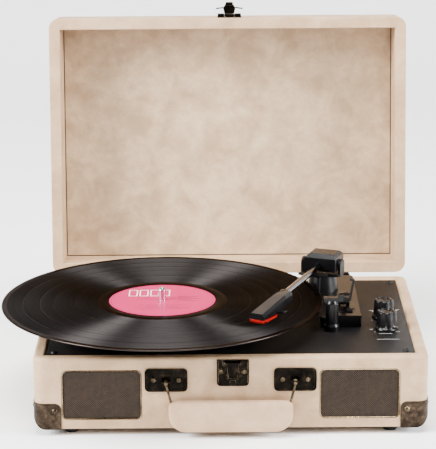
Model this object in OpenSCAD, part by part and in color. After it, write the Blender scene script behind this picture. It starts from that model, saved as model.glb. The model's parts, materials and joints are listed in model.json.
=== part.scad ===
// Portable suitcase record player: a wrapped box with a hinged lid, a belt-driven platter
// carrying a 12-inch record, a pivoted tonearm, two speakers and a carrying handle.
// Every module draws in case coordinates, with the case centred on X and Y and the feet on z = 0,
// and seat() then moves it so that the whole object's footprint is centred on the origin.

/* [Case] */
// Outer width of the case
case_w = 355.6; // [330:0.1:440]
// Outer depth of the case
case_d = 257; // [252:0.1:310]
// Height of the case body above its feet
case_h = 67; // [60:0.5:85]
// Thickness of the wrapped side walls
wall = 11; // [8:0.5:14]
// Thickness of the bottom board
bottom_t = 4; // [3:0.5:6]
// Radius of the upright corners
plan_r = 10; // [6:0.5:14]
// Radius of the two lower side edges
edge_r = 11; // [6:0.5:14]

/* [Lid] */
// Height of the closed lid
lid_h = 53; // [50:0.5:70]
// Thickness of the lid's board
lid_board_t = 3; // [2:0.5:5]
// How far the lid stands open, from closed
lid_open = 97; // [92:1:105]
// Gap between the closed lid and the case
lid_gap = 0.5; // [0.3:0.1:1]
// Distance of each hinge from the middle
hinge_x = 105; // [60:1:130]
// Length of each hinge
hinge_len = 32; // [24:1:40]
// Radius of the hinge knuckles
knuckle_r = 2.5; // [2:0.1:3]

/* [Feet and corners] */
// Height of the rubber feet
foot_h = 7; // [5:0.5:12]
// Radius of the rubber feet
foot_r = 6.5; // [5:0.5:8]
// Distance from a foot's centre to the side of the case
foot_in_x = 33; // [33:1:50]
// Distance from a foot's centre to the front or back of the case
foot_in_y = 15; // [14:0.5:30]
// Length of a corner guard along each side
guard_len = 25; // [18:0.5:25]
// Height of a corner guard
guard_h = 24; // [15:0.5:28]
// Sheet thickness of the corner guards
guard_t = 0.8; // [0.5:0.1:1.2]

/* [Speakers] */
// Width of each speaker grille
grille_w = 72; // [60:0.5:76]
// Height of each speaker grille
grille_h = 46.5; // [40:0.5:50]
// Distance from the side of the case to a grille
grille_in = 25.6; // [22:0.1:30]
// Height of a grille's lower edge above the case bottom
grille_up = 8.6; // [6:0.1:12]
// Depth of the grille's recess
grille_recess = 1.5; // [1:0.1:2.5]
// Radius of the sound opening behind each grille
sound_r = 21; // [16:0.5:22]

/* [Handle] */
// Distance of each handle plate from the middle
handle_x = 58; // [50:0.5:62]
// Height of the handle's hinge line above the case bottom
handle_up = 46; // [40:0.5:50]
// Width of the grip
grip_w = 112; // [90:1:113]
// Height of the grip
grip_h = 29; // [22:0.5:30]
// Thickness of the grip
grip_t = 11.5; // [9:0.5:12]
// Radius of the wire that makes the handle's links
wire_r = 1.1; // [0.9:0.1:1.2]

/* [Latch] */
// Width of the catch plate
catch_w = 29; // [26:0.5:34]
// Height of the catch plate
catch_h = 25; // [22:0.5:28]
// Length of the swinging hasp
hasp_len = 13; // [11:0.5:15]

/* [Deck] */
// Thickness of the deck board
deck_t = 5; // [4:0.5:6]
// Depth of the deck's top below the rim
deck_drop = 1.5; // [1:0.1:3]
// Distance of the knobs from the deck's right edge
knob_in = 21; // [17:0.5:26]
// Height of a knob
knob_h = 18.5; // [15:0.5:22]
// Radius of a knob's body
knob_r = 9; // [8:0.1:10]

/* [Platter and record] */
// Spindle's place across the case, from the middle
spindle_x = -63.5; // [-80:0.5:-60]
// Spindle's place from front to back, from the middle
spindle_y = -19; // [-22:0.5:-14]
// Radius of the record's centre pin
pin_r = 3.57; // [3.5:0.01:3.6]
// Radius of the platter
platter_r = 92; // [80:0.5:96]
// Radius of the drive ring that the belt runs on
ring_r = 55; // [45:0.5:60]
// Radius of the motor pulley
pulley_r = 5; // [4:0.5:7]
// Height of the platter's top above the deck
platter_up = 19; // [18:0.5:24]
// Radius of the record
record_r = 150.8; // [150:0.1:151]
// Thickness of the record
record_t = 1.5; // [1.2:0.1:2]

/* [Tonearm] */
// Pivot's place across, from the spindle
pivot_dx = 154.5; // [151:0.5:158]
// Pivot's place back, from the spindle
pivot_dy = 76.5; // [73:0.5:80]
// Length from the pivot to the headshell
arm_len = 116; // [112:0.5:120]
// Angle of the arm from straight ahead, as it stands on the record
arm_angle = 21.2; // [20:0.1:23]
// Length of the headshell
shell_len = 58; // [54:0.5:60]
// Angle by which the headshell turns in from the tube
shell_turn = 8; // [4:0.5:12]
// Radius of the arm tube
tube_r = 3; // [2.5:0.1:3.5]
// Height of the arm tube above the record
tube_up = 13.5; // [11:0.5:15]
// Height of the tonearm base above the deck
base_up = 9.5; // [8:0.5:12]
// Radius of the cueing arc about the pivot
cue_r = 30; // [26:0.5:32]

/* [Hidden] */
$fn = 64;
over = 1;        // how far a cutter runs past the face it cuts
fit = 0.05;      // radial clearance of a shaft in its bore
slack = 0.1;     // radial clearance of a screw or nail in its hole
near = 0.3;      // gap between pieces that only lie close

top_z = foot_h + case_h;
floor_z = foot_h + bottom_t;
deck_top = top_z - deck_drop;
deck_under = deck_top - deck_t;
front_y = -case_d / 2;
back_y = case_d / 2;
in_w = case_w - 2 * wall;
in_d = case_d - 2 * wall;

hinge_y = back_y + knuckle_r;
hinge_z = top_z + lid_gap / 2;
lid_z = top_z + lid_gap;
lid_top = lid_z + lid_h;
leaf_t = 1.2;
leaf_h = 15;
hinge_pin_r = 1.2;

grille_x = case_w / 2 - grille_in - grille_w / 2;
grille_z = foot_h + grille_up + grille_h / 2;
cone_seat = 1.7;      // depth of the ledge that a speaker cone's rim rests on
nail_r = 2.7;
nail_rise = 0.55;    // height of a domed head, as a part of its radius

plate_t = 1.2;
plate_w = 38.5;
plate_h = 21.5;
plate_screw_x = 11.4;
handle_y = front_y - plate_t - 5.9;
handle_z = foot_h + handle_up;
grip_top = handle_z - 18;
catch_top = top_z - 2;
catch_z = catch_top - catch_h / 2;
catch_screw_x = 10.4;
hasp_z = lid_z + 3;
hasp_y = front_y - plate_t - 1.4;
latch_x = 2;          // the latch stands a little right of the middle
hasp_plate_w = 24;
hasp_plate_h = 17;

platter_top = deck_top + platter_up;
mat_t = 1.5;
record_z = platter_top + mat_t;
record_top = record_z + record_t;
seat_r = pin_r + 0.02;    // the part of the spindle that the platter and record turn on
label_r = 50;
label_t = 0.15;
flange_t = 2;
platter_low = deck_top + flange_t + 0.2;
motor_x = spindle_x - (ring_r + pulley_r + 12) * cos(45);
motor_y = spindle_y + (ring_r + pulley_r + 12) * sin(45);
belt_z = deck_top + 8;
belt_h = 4;

pivot_x = spindle_x + pivot_dx;
pivot_y = spindle_y + pivot_dy;
arm_z = record_top + tube_up;
base_top = deck_top + base_up;
base_left = -6;
base_right = 32;
base_front = -96;
base_back = 46;
turret_top = base_top + 15;
housing_w = 34;
housing_d = 26;
housing_low = arm_z - 5;
housing_h = 17;
cheek_in = housing_w / 2 + 0.6;
cheek_t = 2.5;
cue_post_r = 1.6;
rest_dx = 4;
rest_dy = -104;
clip_dx = rest_dx + 8.8;
lever_dx = 17;
lever_dy = -56;
knob_x = case_w / 2 - wall - knob_in;
knob_y = [-9.5, -45.3];
slider_dx = 22;
slider_dy = [-76, -26];
slider_throw = 5;
jack_x = 95;
jack_z = foot_h + 30;
jack_w = 76;
jack_h = 28;
jack_dx = [-26, -12, 6, 22];
adapter_r = 19;
adapter_x = -case_w / 2 + wall + 6 + adapter_r;
adapter_y = back_y - wall - 6 - adapter_r;
screw_in = 7;

x_low = min(-case_w / 2 - guard_t, spindle_x - record_r);
x_high = case_w / 2 + guard_t + nail_r * nail_rise;
y_low = min(spindle_y - record_r, handle_y - grip_t / 2);
y_high = hinge_y - (case_d / 2 + hinge_y) * cos(lid_open) + (lid_top - hinge_z) * sin(lid_open);

// ---------------------------------------------------------------- placing

module seat() { translate([-(x_low + x_high) / 2, -(y_low + y_high) / 2, 0]) children(); }

// Stands the closed lid open about its hinge line.
module opened() {
    translate([0, hinge_y, hinge_z]) rotate([-lid_open, 0, 0])
        translate([0, -hinge_y, -hinge_z]) children();
}

// Turns a piece drawn with its arm pointing straight ahead to the arm's place on the record.
module on_arm() { translate([pivot_x, pivot_y, 0]) rotate([0, 0, -arm_angle]) children(); }

module at_pivot() { translate([pivot_x, pivot_y, 0]) children(); }

// A flat outline in X and Z, as thick as y0 to y1.
module along_y(y0, y1) { translate([0, y1, 0]) rotate([90, 0, 0]) linear_extrude(y1 - y0) children(); }

// A flat outline in Y and Z, as wide as x0 to x1.
module along_x(x0, x1) { translate([x0, 0, 0]) rotate([90, 0, 90]) linear_extrude(x1 - x0) children(); }

module rod_y(x, z, r, y0, y1) { translate([x, y1, z]) rotate([90, 0, 0]) cylinder(r = r, h = y1 - y0); }

module rod_x(y, z, r, x0, x1) { translate([x0, y, z]) rotate([0, 90, 0]) cylinder(r = r, h = x1 - x0); }

module rod_z(x, y, r, z0, z1) { translate([x, y, z0]) cylinder(r = r, h = z1 - z0); }

module block(x0, x1, y0, y1, z0, z1) { translate([x0, y0, z0]) cube([x1 - x0, y1 - y0, z1 - z0]); }

module both_sides() { children(); mirror([1, 0, 0]) children(); }

module four_corners(x, y) { for (sx = [-1, 1], sy = [-1, 1]) translate([sx * x, sy * y, 0]) children(); }

// ---------------------------------------------------------------- outlines

// Rectangle centred on the origin, with one radius at its top corners and one at its lower ones.
module rounded(w, h, top_r, low_r) {
    r = max(top_r, low_r);
    s = min(top_r, low_r);
    mirror([0, top_r > low_r ? 1 : 0]) {
        square([w - 2 * r, h], center = true);
        translate([-w / 2 + s, -h / 2 + r]) square([w - 2 * s, h - r]);
        translate([-w / 2, -h / 2 + r]) square([w, h - r - s]);
        for (side = [-1, 1]) {
            translate([side * (w / 2 - r), -h / 2 + r]) circle(r);
            if (s > 0) translate([side * (w / 2 - s), h / 2 - s]) circle(s);
        }
    }
}

// Quarter panel from the origin, with its far upper corner rounded.
module quarter_panel(w, h, r) {
    square([w - r, h]);
    square([w, h - r]);
    translate([w - r, h - r]) circle(r);
}

// ---------------------------------------------------------------- case

// The case's outer form, grown by g on the sides and bottom.
module case_form(g) {
    intersection() {
        translate([0, 0, foot_h - g]) linear_extrude(case_h + g)
            rounded(case_w + 2 * g, case_d + 2 * g, plan_r + g, plan_r + g);
        along_y(front_y - g - over, back_y + g + over)
            translate([0, foot_h - g + (case_h + g + over) / 2])
                rounded(case_w + 2 * g, case_h + g + over, 0, edge_r + g);
    }
}

module nail_sites() {
    inset = 18.9;
    up = foot_h + 16.8;
    for (sx = [-1, 1], sy = [-1, 1]) {
        translate([sx * (case_w / 2 - inset), sy * (back_y + guard_t), up]) rotate([-sy * 90, 0, 0]) children();
        translate([sx * (case_w / 2 + guard_t), sy * (back_y - inset), up]) rotate([0, sx * 90, 0]) children();
    }
}

module case_walls() {
    color("#d9c7b2") seat() difference() {
        case_form(0);
        block(-in_w / 2, in_w / 2, -in_d / 2, in_d / 2, foot_h - over, top_z + over);
        both_sides() {
            along_y(front_y - over, front_y + grille_recess) translate([grille_x, grille_z])
                rounded(grille_w + 2 * near, grille_h + 2 * near, 5, 5);
            rod_y(grille_x, grille_z, sound_r, front_y, -in_d / 2 + over);
        }
        block(jack_x - jack_w / 2 + 4, jack_x + jack_w / 2 - 4, in_d / 2 - over, back_y + over,
              jack_z - jack_h / 2 + 4, jack_z + jack_h / 2 - 4);
        nail_sites() translate([0, 0, -9]) cylinder(r = 0.9 + slack, h = 9 + over);
        front_screw_sites() translate([0, 0, -9]) cylinder(r = 1.4 + slack, h = 9 + over);
        base_hinge_sites() translate([0, 0, -8]) cylinder(r = 1.2 + slack, h = 8 + over);
        jack_screw_sites() translate([0, 0, -8]) cylinder(r = 1.2 + slack, h = 8 + over);
    }
}

module bottom_board() {
    color("#2b2724") seat() difference() {
        block(-in_w / 2 + slack, in_w / 2 - slack, -in_d / 2 + slack, in_d / 2 - slack, foot_h, floor_z);
        foot_sites() translate([0, 0, -over]) cylinder(r = 1.5 + slack, h = floor_z + 2 * over);
    }
}

module corner_guard(sx, sy) {
    g = guard_t;
    color("#5d5040") seat() difference() {
        intersection() {
            case_form(g);
            mirror([sx < 0 ? 1 : 0, 0, 0]) mirror([0, sy < 0 ? 1 : 0, 0])
                    translate([case_w / 2 + g, back_y + g, foot_h - g]) intersection() {
                mirror([1, 0, 0]) along_y(-guard_len - g, over) quarter_panel(guard_len + g, guard_h + g, 6);
                mirror([0, 1, 0]) along_x(-guard_len - g, over) quarter_panel(guard_len + g, guard_h + g, 6);
            }
        }
        case_form(0);
        nail_sites() translate([0, 0, -g - over]) cylinder(r = 0.9 + slack, h = g + 2 * over);
    }
}

// Round-headed nail standing on the face at z = 0, its shank going down.
module dome_nail(head_r, shank_r, length) {
    height = head_r * nail_rise;
    ball = (head_r * head_r + height * height) / (2 * height);
    intersection() {
        translate([0, 0, height - ball]) sphere(ball);
        cylinder(r = head_r, h = height);
    }
    translate([0, 0, -length]) cylinder(r = shank_r, h = length + height / 2);
}

// Cross-recessed screw with a raised head.
module cross_screw(head_r, head_h, shank_r, length) {
    slot_w = head_r * 0.28;
    slot_l = head_r * 1.15;
    difference() {
        union() {
            cylinder(r1 = head_r, r2 = head_r * 0.72, h = head_h);
            translate([0, 0, -length]) cylinder(r = shank_r, h = length + head_h / 2);
        }
        for (turn = [0, 90]) rotate([0, 0, turn + 20])
            translate([-slot_l / 2, -slot_w / 2, head_h * 0.35]) cube([slot_l, slot_w, head_h]);
    }
}

module guard_nails() {
    color("#8a7a55") seat() nail_sites() dome_nail(nail_r, 0.9, 8);
}

module foot_sites() { four_corners(case_w / 2 - foot_in_x, case_d / 2 - foot_in_y) children(); }

module rubber_feet() {
    color("#17171a") seat() foot_sites() rotate_extrude() difference() {
        polygon([[0, 0], [foot_r - 1, 0], [foot_r, 1], [foot_r, foot_h], [0, foot_h]]);
        translate([-over, -over]) square([3.2 + over, 3 + over]);
        translate([-over, 0]) square([1.5 + slack + over, foot_h + over]);
    }
}

// The screws that hold the feet, and the two that hold the motor.
module chassis_screws() {
    color("#8f8f92") seat() {
        foot_sites() translate([0, 0, 3]) mirror([0, 0, 1]) cross_screw(2.9, 1.8, 1.5, foot_h - 3 + bottom_t);
        motor_screw_sites() translate([0, 0, deck_top]) cross_screw(2.8, 1.5, 1.5, deck_t + 6);
    }
}

// ---------------------------------------------------------------- front

module grille(side) {
    color("#54483f") seat() along_y(front_y + 0.2, front_y + grille_recess)
        translate([side * grille_x, grille_z]) rounded(grille_w, grille_h, 5 - near, 5 - near);
}

// The speaker faces -Y. Its flange lies on the inside of the front wall.
module speaker(side) {
    flange = 50;
    color("#2a2a2c") seat() translate([side * grille_x, -in_d / 2, grille_z]) {
        difference() {
            union() {
                difference() {
                    along_y(0, 2) rounded(flange, flange, 6, 6);
                    rod_y(0, 0, 22.4, -over, cone_seat);
                    rod_y(0, 0, 21, -over, 2 + over);
                }
                rotate([-90, 0, 0]) rotate_extrude()
                    polygon([[0, 12], [12, 12], [21.3, 1.8], [23, 1.8], [13.5, 14], [0, 14]]);
                rod_y(0, 0, 15, 14, 23);
                rod_y(0, 0, 6, 10, 15);
            }
            for (sx = [-1, 1], sz = [-1, 1]) rod_y(sx * 20.5, sz * 20.5, 1.4, -over, 2 + over);
        }
    }
}

module speaker_cones() {
    color("#4a453e") seat() for (side = [-1, 1]) translate([side * grille_x, -in_d / 2, grille_z])
        rotate([-90, 0, 0]) rotate_extrude()
            polygon([[0, 8.6], [7, 8.6], [18, 1.2], [20.5, 0.6], [21.9, 1.1], [21.9, cone_seat],
                     [20.8, cone_seat], [20.3, 1.3], [18.2, 2], [7.2, 9.2], [0, 9.2]]);
}

module front_screw_sites() {
    for (side = [-1, 1], dx = [-plate_screw_x, plate_screw_x])
        translate([side * handle_x + dx, front_y - plate_t, handle_z]) rotate([90, 0, 0]) children();
    for (dx = [-catch_screw_x, catch_screw_x])
        translate([latch_x + dx, front_y - plate_t, catch_z + 1.4]) rotate([90, 0, 0]) children();
}

module front_screws() {
    color("#8a7a55") seat() front_screw_sites() translate([0, 0, -0.5]) cross_screw(2.6, 1.3, 1.4, 8);
}

// A stamped plate with a raised rim and a wire staple for the handle's link to swing on.
module handle_plate(side) {
    bar_x = 2.9;
    color("#4b3f2c") seat() translate([side * handle_x, 0, 0]) difference() {
        union() {
            along_y(front_y - plate_t, front_y) translate([0, handle_z]) rounded(plate_w, plate_h, 4, 4);
            along_y(front_y - plate_t - 0.7, front_y - plate_t) translate([0, handle_z]) difference() {
                rounded(plate_w, plate_h, 4, 4);
                rounded(plate_w - 4, plate_h - 4, 3, 3);
            }
            for (dx = [-bar_x, bar_x]) rod_y(dx, handle_z, wire_r, handle_y, front_y);
            for (dx = [-bar_x, bar_x]) translate([dx, handle_y, handle_z]) sphere(wire_r);
            rod_x(handle_y, handle_z, wire_r, -bar_x, bar_x);
        }
        for (dx = [-plate_screw_x, plate_screw_x])
            rod_y(dx, handle_z, 1.4 + slack, front_y - plate_t - over, front_y + over);
        for (dx = [-plate_screw_x, plate_screw_x])
            rod_y(dx, handle_z, 2.8, front_y - plate_t - over, front_y - plate_t + 0.6);
    }
}

module catch_plate() {
    color("#3c3226") seat() translate([latch_x, 0, 0]) difference() {
        union() {
            along_y(front_y - plate_t, front_y) translate([0, catch_z]) rounded(catch_w, catch_h, 1, 3.5);
            for (side = [-1, 1]) along_y(front_y - plate_t - 1, front_y - plate_t)
                translate([side * (catch_w / 2 - 0.7), catch_z + 1.2]) square([1.4, catch_h - 4.4], center = true);
            rod_y(0, catch_z - 8.8, 2.7, front_y - plate_t - 2.6, front_y - plate_t);
            for (side = [-1, 1]) along_x(side * 8.1 - 0.8, side * 8.1 + 0.8)
                translate([front_y - plate_t - 3.2, catch_top - 4.4]) square([3.2, 3.6]);
        }
        for (dx = [-catch_screw_x, catch_screw_x]) {
            rod_y(dx, catch_z + 1.4, 1.4 + slack, front_y - plate_t - 5, front_y + over);
            rod_y(dx, catch_z + 1.4, 2.8, front_y - plate_t - 5, front_y - plate_t + 0.6);
        }
        rod_x(front_y - plate_t - 1.8, catch_top - 2.6, 0.8 + fit, -10, 10);
    }
}

// The sprung tongue, hung on two stub pins at its upper end.
module catch_tongue() {
    y0 = front_y - plate_t - 3;
    y1 = front_y - plate_t - 1.6;
    color("#54472f") seat() translate([latch_x, 0, 0]) union() {
        along_y(y0, y1) polygon([[-6.9, catch_top - 2.6], [-5.2, catch_top - 17.2], [-4.2, catch_top - 18],
                                 [4.2, catch_top - 18], [5.2, catch_top - 17.2], [6.9, catch_top - 2.6]]);
        for (side = [-1, 1]) along_y(y0 - 0.8, y0) polygon([
            [side * 6.9, catch_top - 2.6], [side * 5.2, catch_top - 17.2],
            [side * 3.9, catch_top - 17.2], [side * 5.6, catch_top - 2.6]]);
        along_y(y0 - 0.8, y0) polygon([[-5.2, catch_top - 17.2], [-4.2, catch_top - 18], [4.2, catch_top - 18],
                                       [5.2, catch_top - 17.2], [4.6, catch_top - 16.4], [-4.6, catch_top - 16.4]]);
        rod_x(front_y - plate_t - 1.8, catch_top - 2.6, 1.2, -7, 7);
        rod_x(front_y - plate_t - 1.8, catch_top - 2.6, 0.8, -8.8, 8.8);
    }
}

// ---------------------------------------------------------------- handle

module handle_grip() {
    mid = grip_top - grip_h / 2;
    color("#d9c7b2") seat() difference() {
        along_y(handle_y - grip_t / 2, handle_y + grip_t / 2) translate([0, mid]) intersection() {
            rounded(grip_w, grip_h, 6, 6);
            translate([0, grip_h / 2]) rounded(grip_w, 2 * grip_h, 18, 18);
        }
        for (side = [-1, 1]) link_run(side, wire_r + slack);
    }
}

// The straight part of a link, from below its eye into the end of the grip.
module link_run(side, r) {
    top_x = side * handle_x;
    end_x = side * (grip_w / 2 - 4);
    drop = handle_z - 2.2 - (grip_top - 8);
    lean = atan((top_x - end_x) / drop);
    translate([top_x, handle_y, handle_z - 2.2]) rotate([180, lean, 0]) cylinder(r = r, h = drop / cos(lean));
}

module handle_links() {
    color("#7d6c48") seat() for (side = [-1, 1]) difference() {
        union() {
            link_run(side, wire_r);
            rod_x(handle_y, handle_z, 2.7, side * handle_x - 1.5, side * handle_x + 1.5);
        }
        rod_x(handle_y, handle_z, wire_r + fit, side * handle_x - 2, side * handle_x + 2);
    }
}

// ---------------------------------------------------------------- hinges

// One hinge about its pin line: knuckles in three parts, the outer two below and the middle one above.
module knuckles(x0, x1, upper) {
    third = (x1 - x0) / 3;
    parts = upper ? [1] : [0, 2];
    for (k = parts) rod_x(hinge_y, hinge_z, knuckle_r, x0 + k * third + 0.15, x0 + (k + 1) * third - 0.15);
}

module hinge_leaf(side, upper) {
    x0 = side * hinge_x - hinge_len / 2;
    x1 = side * hinge_x + hinge_len / 2;
    z0 = upper ? hinge_z : hinge_z - leaf_h;
    difference() {
        union() {
            block(x0, x1, back_y, back_y + leaf_t, z0, z0 + leaf_h);
            knuckles(x0, x1, upper);
        }
        rod_x(hinge_y, hinge_z, hinge_pin_r + fit, x0 - over, x1 + over);
        intersection() {
            block(x0 - over, x1 + over, back_y - over, back_y + 6, hinge_z - 4, hinge_z + 4);
            knuckle_room(x0, x1, !upper);
        }
        hinge_holes(side, upper) translate([0, 0, -leaf_t - over]) cylinder(r = 1.2 + slack, h = leaf_t + 2 * over);
    }
}

// Room for the other leaf's knuckles.
module knuckle_room(x0, x1, upper) {
    third = (x1 - x0) / 3;
    parts = upper ? [1] : [0, 2];
    for (k = parts) rod_x(hinge_y, hinge_z, knuckle_r + near, x0 + k * third - 0.15, x0 + (k + 1) * third + 0.15);
}

module hinge_holes(side, upper) {
    z = upper ? hinge_z + leaf_h * 0.62 : hinge_z - leaf_h * 0.62;
    for (dx = [-10, 10]) translate([side * hinge_x + dx, back_y + leaf_t, z]) rotate([-90, 0, 0]) children();
}

module base_hinge_sites() { for (side = [-1, 1]) hinge_holes(side, false) children(); }

module lid_hinge_sites() { for (side = [-1, 1]) hinge_holes(side, true) children(); }

module hinge_base_leaves() { color("#5d5040") seat() for (side = [-1, 1]) hinge_leaf(side, false); }

module hinge_lid_leaves() { color("#5d5040") seat() opened() for (side = [-1, 1]) hinge_leaf(side, true); }

module hinge_pins() {
    color("#8a7a55") seat() for (side = [-1, 1]) {
        rod_x(hinge_y, hinge_z, hinge_pin_r, side * hinge_x - hinge_len / 2, side * hinge_x + hinge_len / 2);
        for (end = [-1, 1]) translate([side * hinge_x + end * (hinge_len / 2 + 0.4), hinge_y, hinge_z])
            rotate([0, 90, 0]) cylinder(r = 1.8, h = 0.8, center = true);
    }
}

module hinge_screws() {
    color("#8a7a55") seat() {
        base_hinge_sites() cross_screw(2.3, 1, 1.2, 7);
        jack_screw_sites() cross_screw(2.3, 1, 1.2, 7);
    }
}

// ---------------------------------------------------------------- lid

module lid_walls() {
    color("#d9c7b2") seat() opened() difference() {
        translate([0, 0, lid_z]) linear_extrude(lid_h) rounded(case_w, case_d, plan_r, plan_r);
        block(-in_w / 2, in_w / 2, -in_d / 2, in_d / 2, lid_z - over, lid_top + over);
        lid_hinge_sites() translate([0, 0, -8]) cylinder(r = 1.2 + slack, h = 8 + over);
        hasp_screw_sites() translate([0, 0, -8]) cylinder(r = 1.2 + slack, h = 8 + over);
    }
}

module lid_board() {
    color("#cdb9a3") seat() opened()
        block(-in_w / 2 + slack, in_w / 2 - slack, -in_d / 2 + slack, in_d / 2 - slack, lid_top - lid_board_t, lid_top);
}

module hasp_screw_sites() {
    for (dx = [-9, 9])
        translate([latch_x + dx, front_y - plate_t, hasp_z + 10.5]) rotate([90, 0, 0]) children();
}

module lid_screws() {
    color("#3c3226") seat() opened() {
        lid_hinge_sites() cross_screw(2.3, 1, 1.2, 7);
        hasp_screw_sites() dome_nail(2.4, 1.2, 7);
    }
}

module hasp_plate() {
    color("#3c3226") seat() opened() difference() {
        translate([latch_x, 0, 0]) union() {
            along_y(front_y - plate_t, front_y) translate([0, hasp_z + hasp_plate_h / 2 - 1])
                rounded(hasp_plate_w, hasp_plate_h, 3, 1);
            for (side = [-1, 1]) rod_x(hasp_y, hasp_z, 1.8, side * 8.4 - 3.2, side * 8.4 + 3.2);
        }
        hasp_screw_sites() translate([0, 0, -plate_t - over]) cylinder(r = 1.2 + slack, h = plate_t + 2 * over);
        rod_x(hasp_y, hasp_z, 2.1, latch_x - 4.7, latch_x + 4.7);
        rod_x(hasp_y, hasp_z, 0.9 + fit, latch_x - 9, latch_x + 9);
    }
}

// The hasp, standing straight out from the lid: a leaf with an upswept cross wing and a curled end.
module lid_hasp() {
    y0 = hasp_y;
    tip = y0 - hasp_len;
    wing_y = y0 - 7;
    color("#3c3226") seat() opened() translate([latch_x, 0, 0]) union() {
        rod_x(y0, hasp_z, 1.8, -4.5, 4.5);
        rod_x(y0, hasp_z, 0.9, -8.6, 8.6);
        translate([0, 0, hasp_z - 0.6]) linear_extrude(1.2)
            polygon([[-4.5, y0], [-6.2, wing_y], [-3.6, tip + 1.5], [3.6, tip + 1.5], [6.2, wing_y], [4.5, y0]]);
        rod_x(tip + 1.8, hasp_z, 1.8, -3.6, 3.6);
        for (side = [-1, 1]) translate([side * 9.6, wing_y, hasp_z]) rotate([0, 0, side * 8])
            cube([7.4, 1.2, 5], center = true);
    }
}

// ---------------------------------------------------------------- deck

module deck_screw_sites() { four_corners(in_w / 2 - screw_in, in_d / 2 - screw_in - 3) children(); }

module motor_screw_sites() {
    for (turn = [45, 225]) translate([motor_x, motor_y, 0]) rotate([0, 0, turn])
        translate([12, 0, 0]) children();
}

module deck_board() {
    color("#1d1b1c") seat() difference() {
        block(-in_w / 2 + near, in_w / 2 - near, -in_d / 2 + near, in_d / 2 - near, deck_under, deck_top);
        deck_screw_sites() translate([0, 0, deck_under - over]) cylinder(r = 1.6 + slack, h = deck_t + 2 * over);
        rod_z(spindle_x, spindle_y, 4 + slack, deck_under - over, deck_top + over);
        rod_z(motor_x, motor_y, 7, deck_under - over, deck_top + over);
        motor_screw_sites() translate([0, 0, deck_under - over]) cylinder(r = 1.5 + slack, h = deck_t + 2 * over);
        for (y = knob_y) rod_z(knob_x, y, 3.6 + slack, deck_under - over, deck_top + over);
        rod_z(adapter_x, adapter_y, adapter_r + near, deck_top - 1.5, deck_top + over);
        at_pivot() {
            rod_z(0, 0, 6, deck_under - over, deck_top + over);
            cue_post(cue_post_r + near, deck_under - over, deck_top + over);
            for (y = slider_dy) block(slider_dx - 3, slider_dx + 3, y - 8, y + 8, deck_under - over, deck_top + over);
        }
    }
}

module deck_blocks() {
    size = 16;
    color("#b08d5f") seat() difference() {
        for (sx = [-1, 1], sy = [-1, 1]) translate([sx * (in_w / 2 - size / 2), sy * (in_d / 2 - size / 2), 0])
            block(-size / 2, size / 2, -size / 2, size / 2, floor_z, deck_under);
        deck_screw_sites() translate([0, 0, deck_under - 13]) cylinder(r = 1.6 + slack, h = 14);
    }
}

module deck_screws() {
    color("#0e0e10") seat() deck_screw_sites() translate([0, 0, deck_top]) cross_screw(3.4, 1.5, 1.6, deck_t + 10);
}

module adapter_45() {
    z0 = deck_top - 1.5;
    color("#26262a") seat() translate([adapter_x, adapter_y, z0]) rotate_extrude()
        polygon([[3.65, 0], [adapter_r, 0], [adapter_r, 4], [adapter_r - 1.5, 5.2], [8, 5.2], [7, 4.2], [3.65, 4.2]]);
}

// ---------------------------------------------------------------- platter

module spindle() {
    tip = record_top + 13;
    neck = record_top + label_t + near;    // a turned groove parts the bearing from the free pin
    color("#c9c9cc") seat() translate([spindle_x, spindle_y, 0]) {
        rotate_extrude() polygon([
            [0, deck_under - 8], [4, deck_under - 8], [4, deck_top], [9, deck_top], [9, deck_top + flange_t],
            [seat_r, deck_top + flange_t], [seat_r, neck], [pin_r - 0.4, neck], [pin_r - 0.4, neck + 1],
            [pin_r, neck + 1], [pin_r, tip - 2.5],
            [pin_r - 1.6, tip - 0.4], [pin_r - 2.6, tip], [0, tip]]);
        difference() {
            translate([0, 0, deck_under - 5]) cylinder(r = 8, h = 5, $fn = 6);
            translate([0, 0, deck_under - 5 - over]) cylinder(r = 4 + fit, h = 5 + 2 * over);
        }
    }
}

module platter() {
    skirt = 2;
    top_t = 3;
    color("#202022") seat() translate([spindle_x, spindle_y, 0]) rotate_extrude()
        polygon([
            [seat_r + fit, platter_low], [9, platter_low], [9, platter_top - top_t],
            [ring_r - skirt, platter_top - top_t], [ring_r - skirt, deck_top + 5], [ring_r, deck_top + 5],
            [ring_r, platter_top - top_t], [platter_r - skirt, platter_top - top_t],
            [platter_r - skirt, deck_top + 5], [platter_r, deck_top + 5], [platter_r, platter_top - 1],
            [platter_r - 1, platter_top], [seat_r + fit, platter_top]]);
}

module disc(r, hole, z0, t) {
    translate([spindle_x, spindle_y, z0]) difference() {
        cylinder(r = r, h = t);
        translate([0, 0, -over]) cylinder(r = hole, h = t + 2 * over);
    }
}

module platter_mat() { color("#28272b") seat() disc(platter_r - 3, seat_r + 0.6, platter_top, mat_t); }

// The record's playing area is a little thinner than its rim bead and its label area.
module record() {
    thin = 0.15;
    groove_out = record_r - 4.8;
    groove_in = label_r + 8;
    color("#151314") seat() translate([spindle_x, spindle_y, record_z]) rotate_extrude() polygon([
        [seat_r + fit, 0], [groove_in, 0], [groove_in + 1.5, thin], [groove_out, thin], [groove_out + 1.2, 0],
        [record_r - 0.6, 0], [record_r, 0.5], [record_r, record_t - 0.5], [record_r - 0.6, record_t],
        [groove_out + 1.2, record_t], [groove_out, record_t - thin], [groove_in + 1.5, record_t - thin],
        [groove_in, record_t], [seat_r + fit, record_t]]);
}

module record_label() { color("#e0527e") seat() disc(label_r, seat_r + fit, record_top, label_t); }

module belt_line(r) {
    hull() {
        translate([spindle_x, spindle_y]) circle(ring_r + r, $fn = 120);
        translate([motor_x, motor_y]) circle(pulley_r + r, $fn = 40);
    }
}

module drive_belt() {
    color("#111111") seat() translate([0, 0, belt_z]) linear_extrude(belt_h) difference() {
        belt_line(0.8);
        belt_line(0.15);
    }
}

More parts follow.
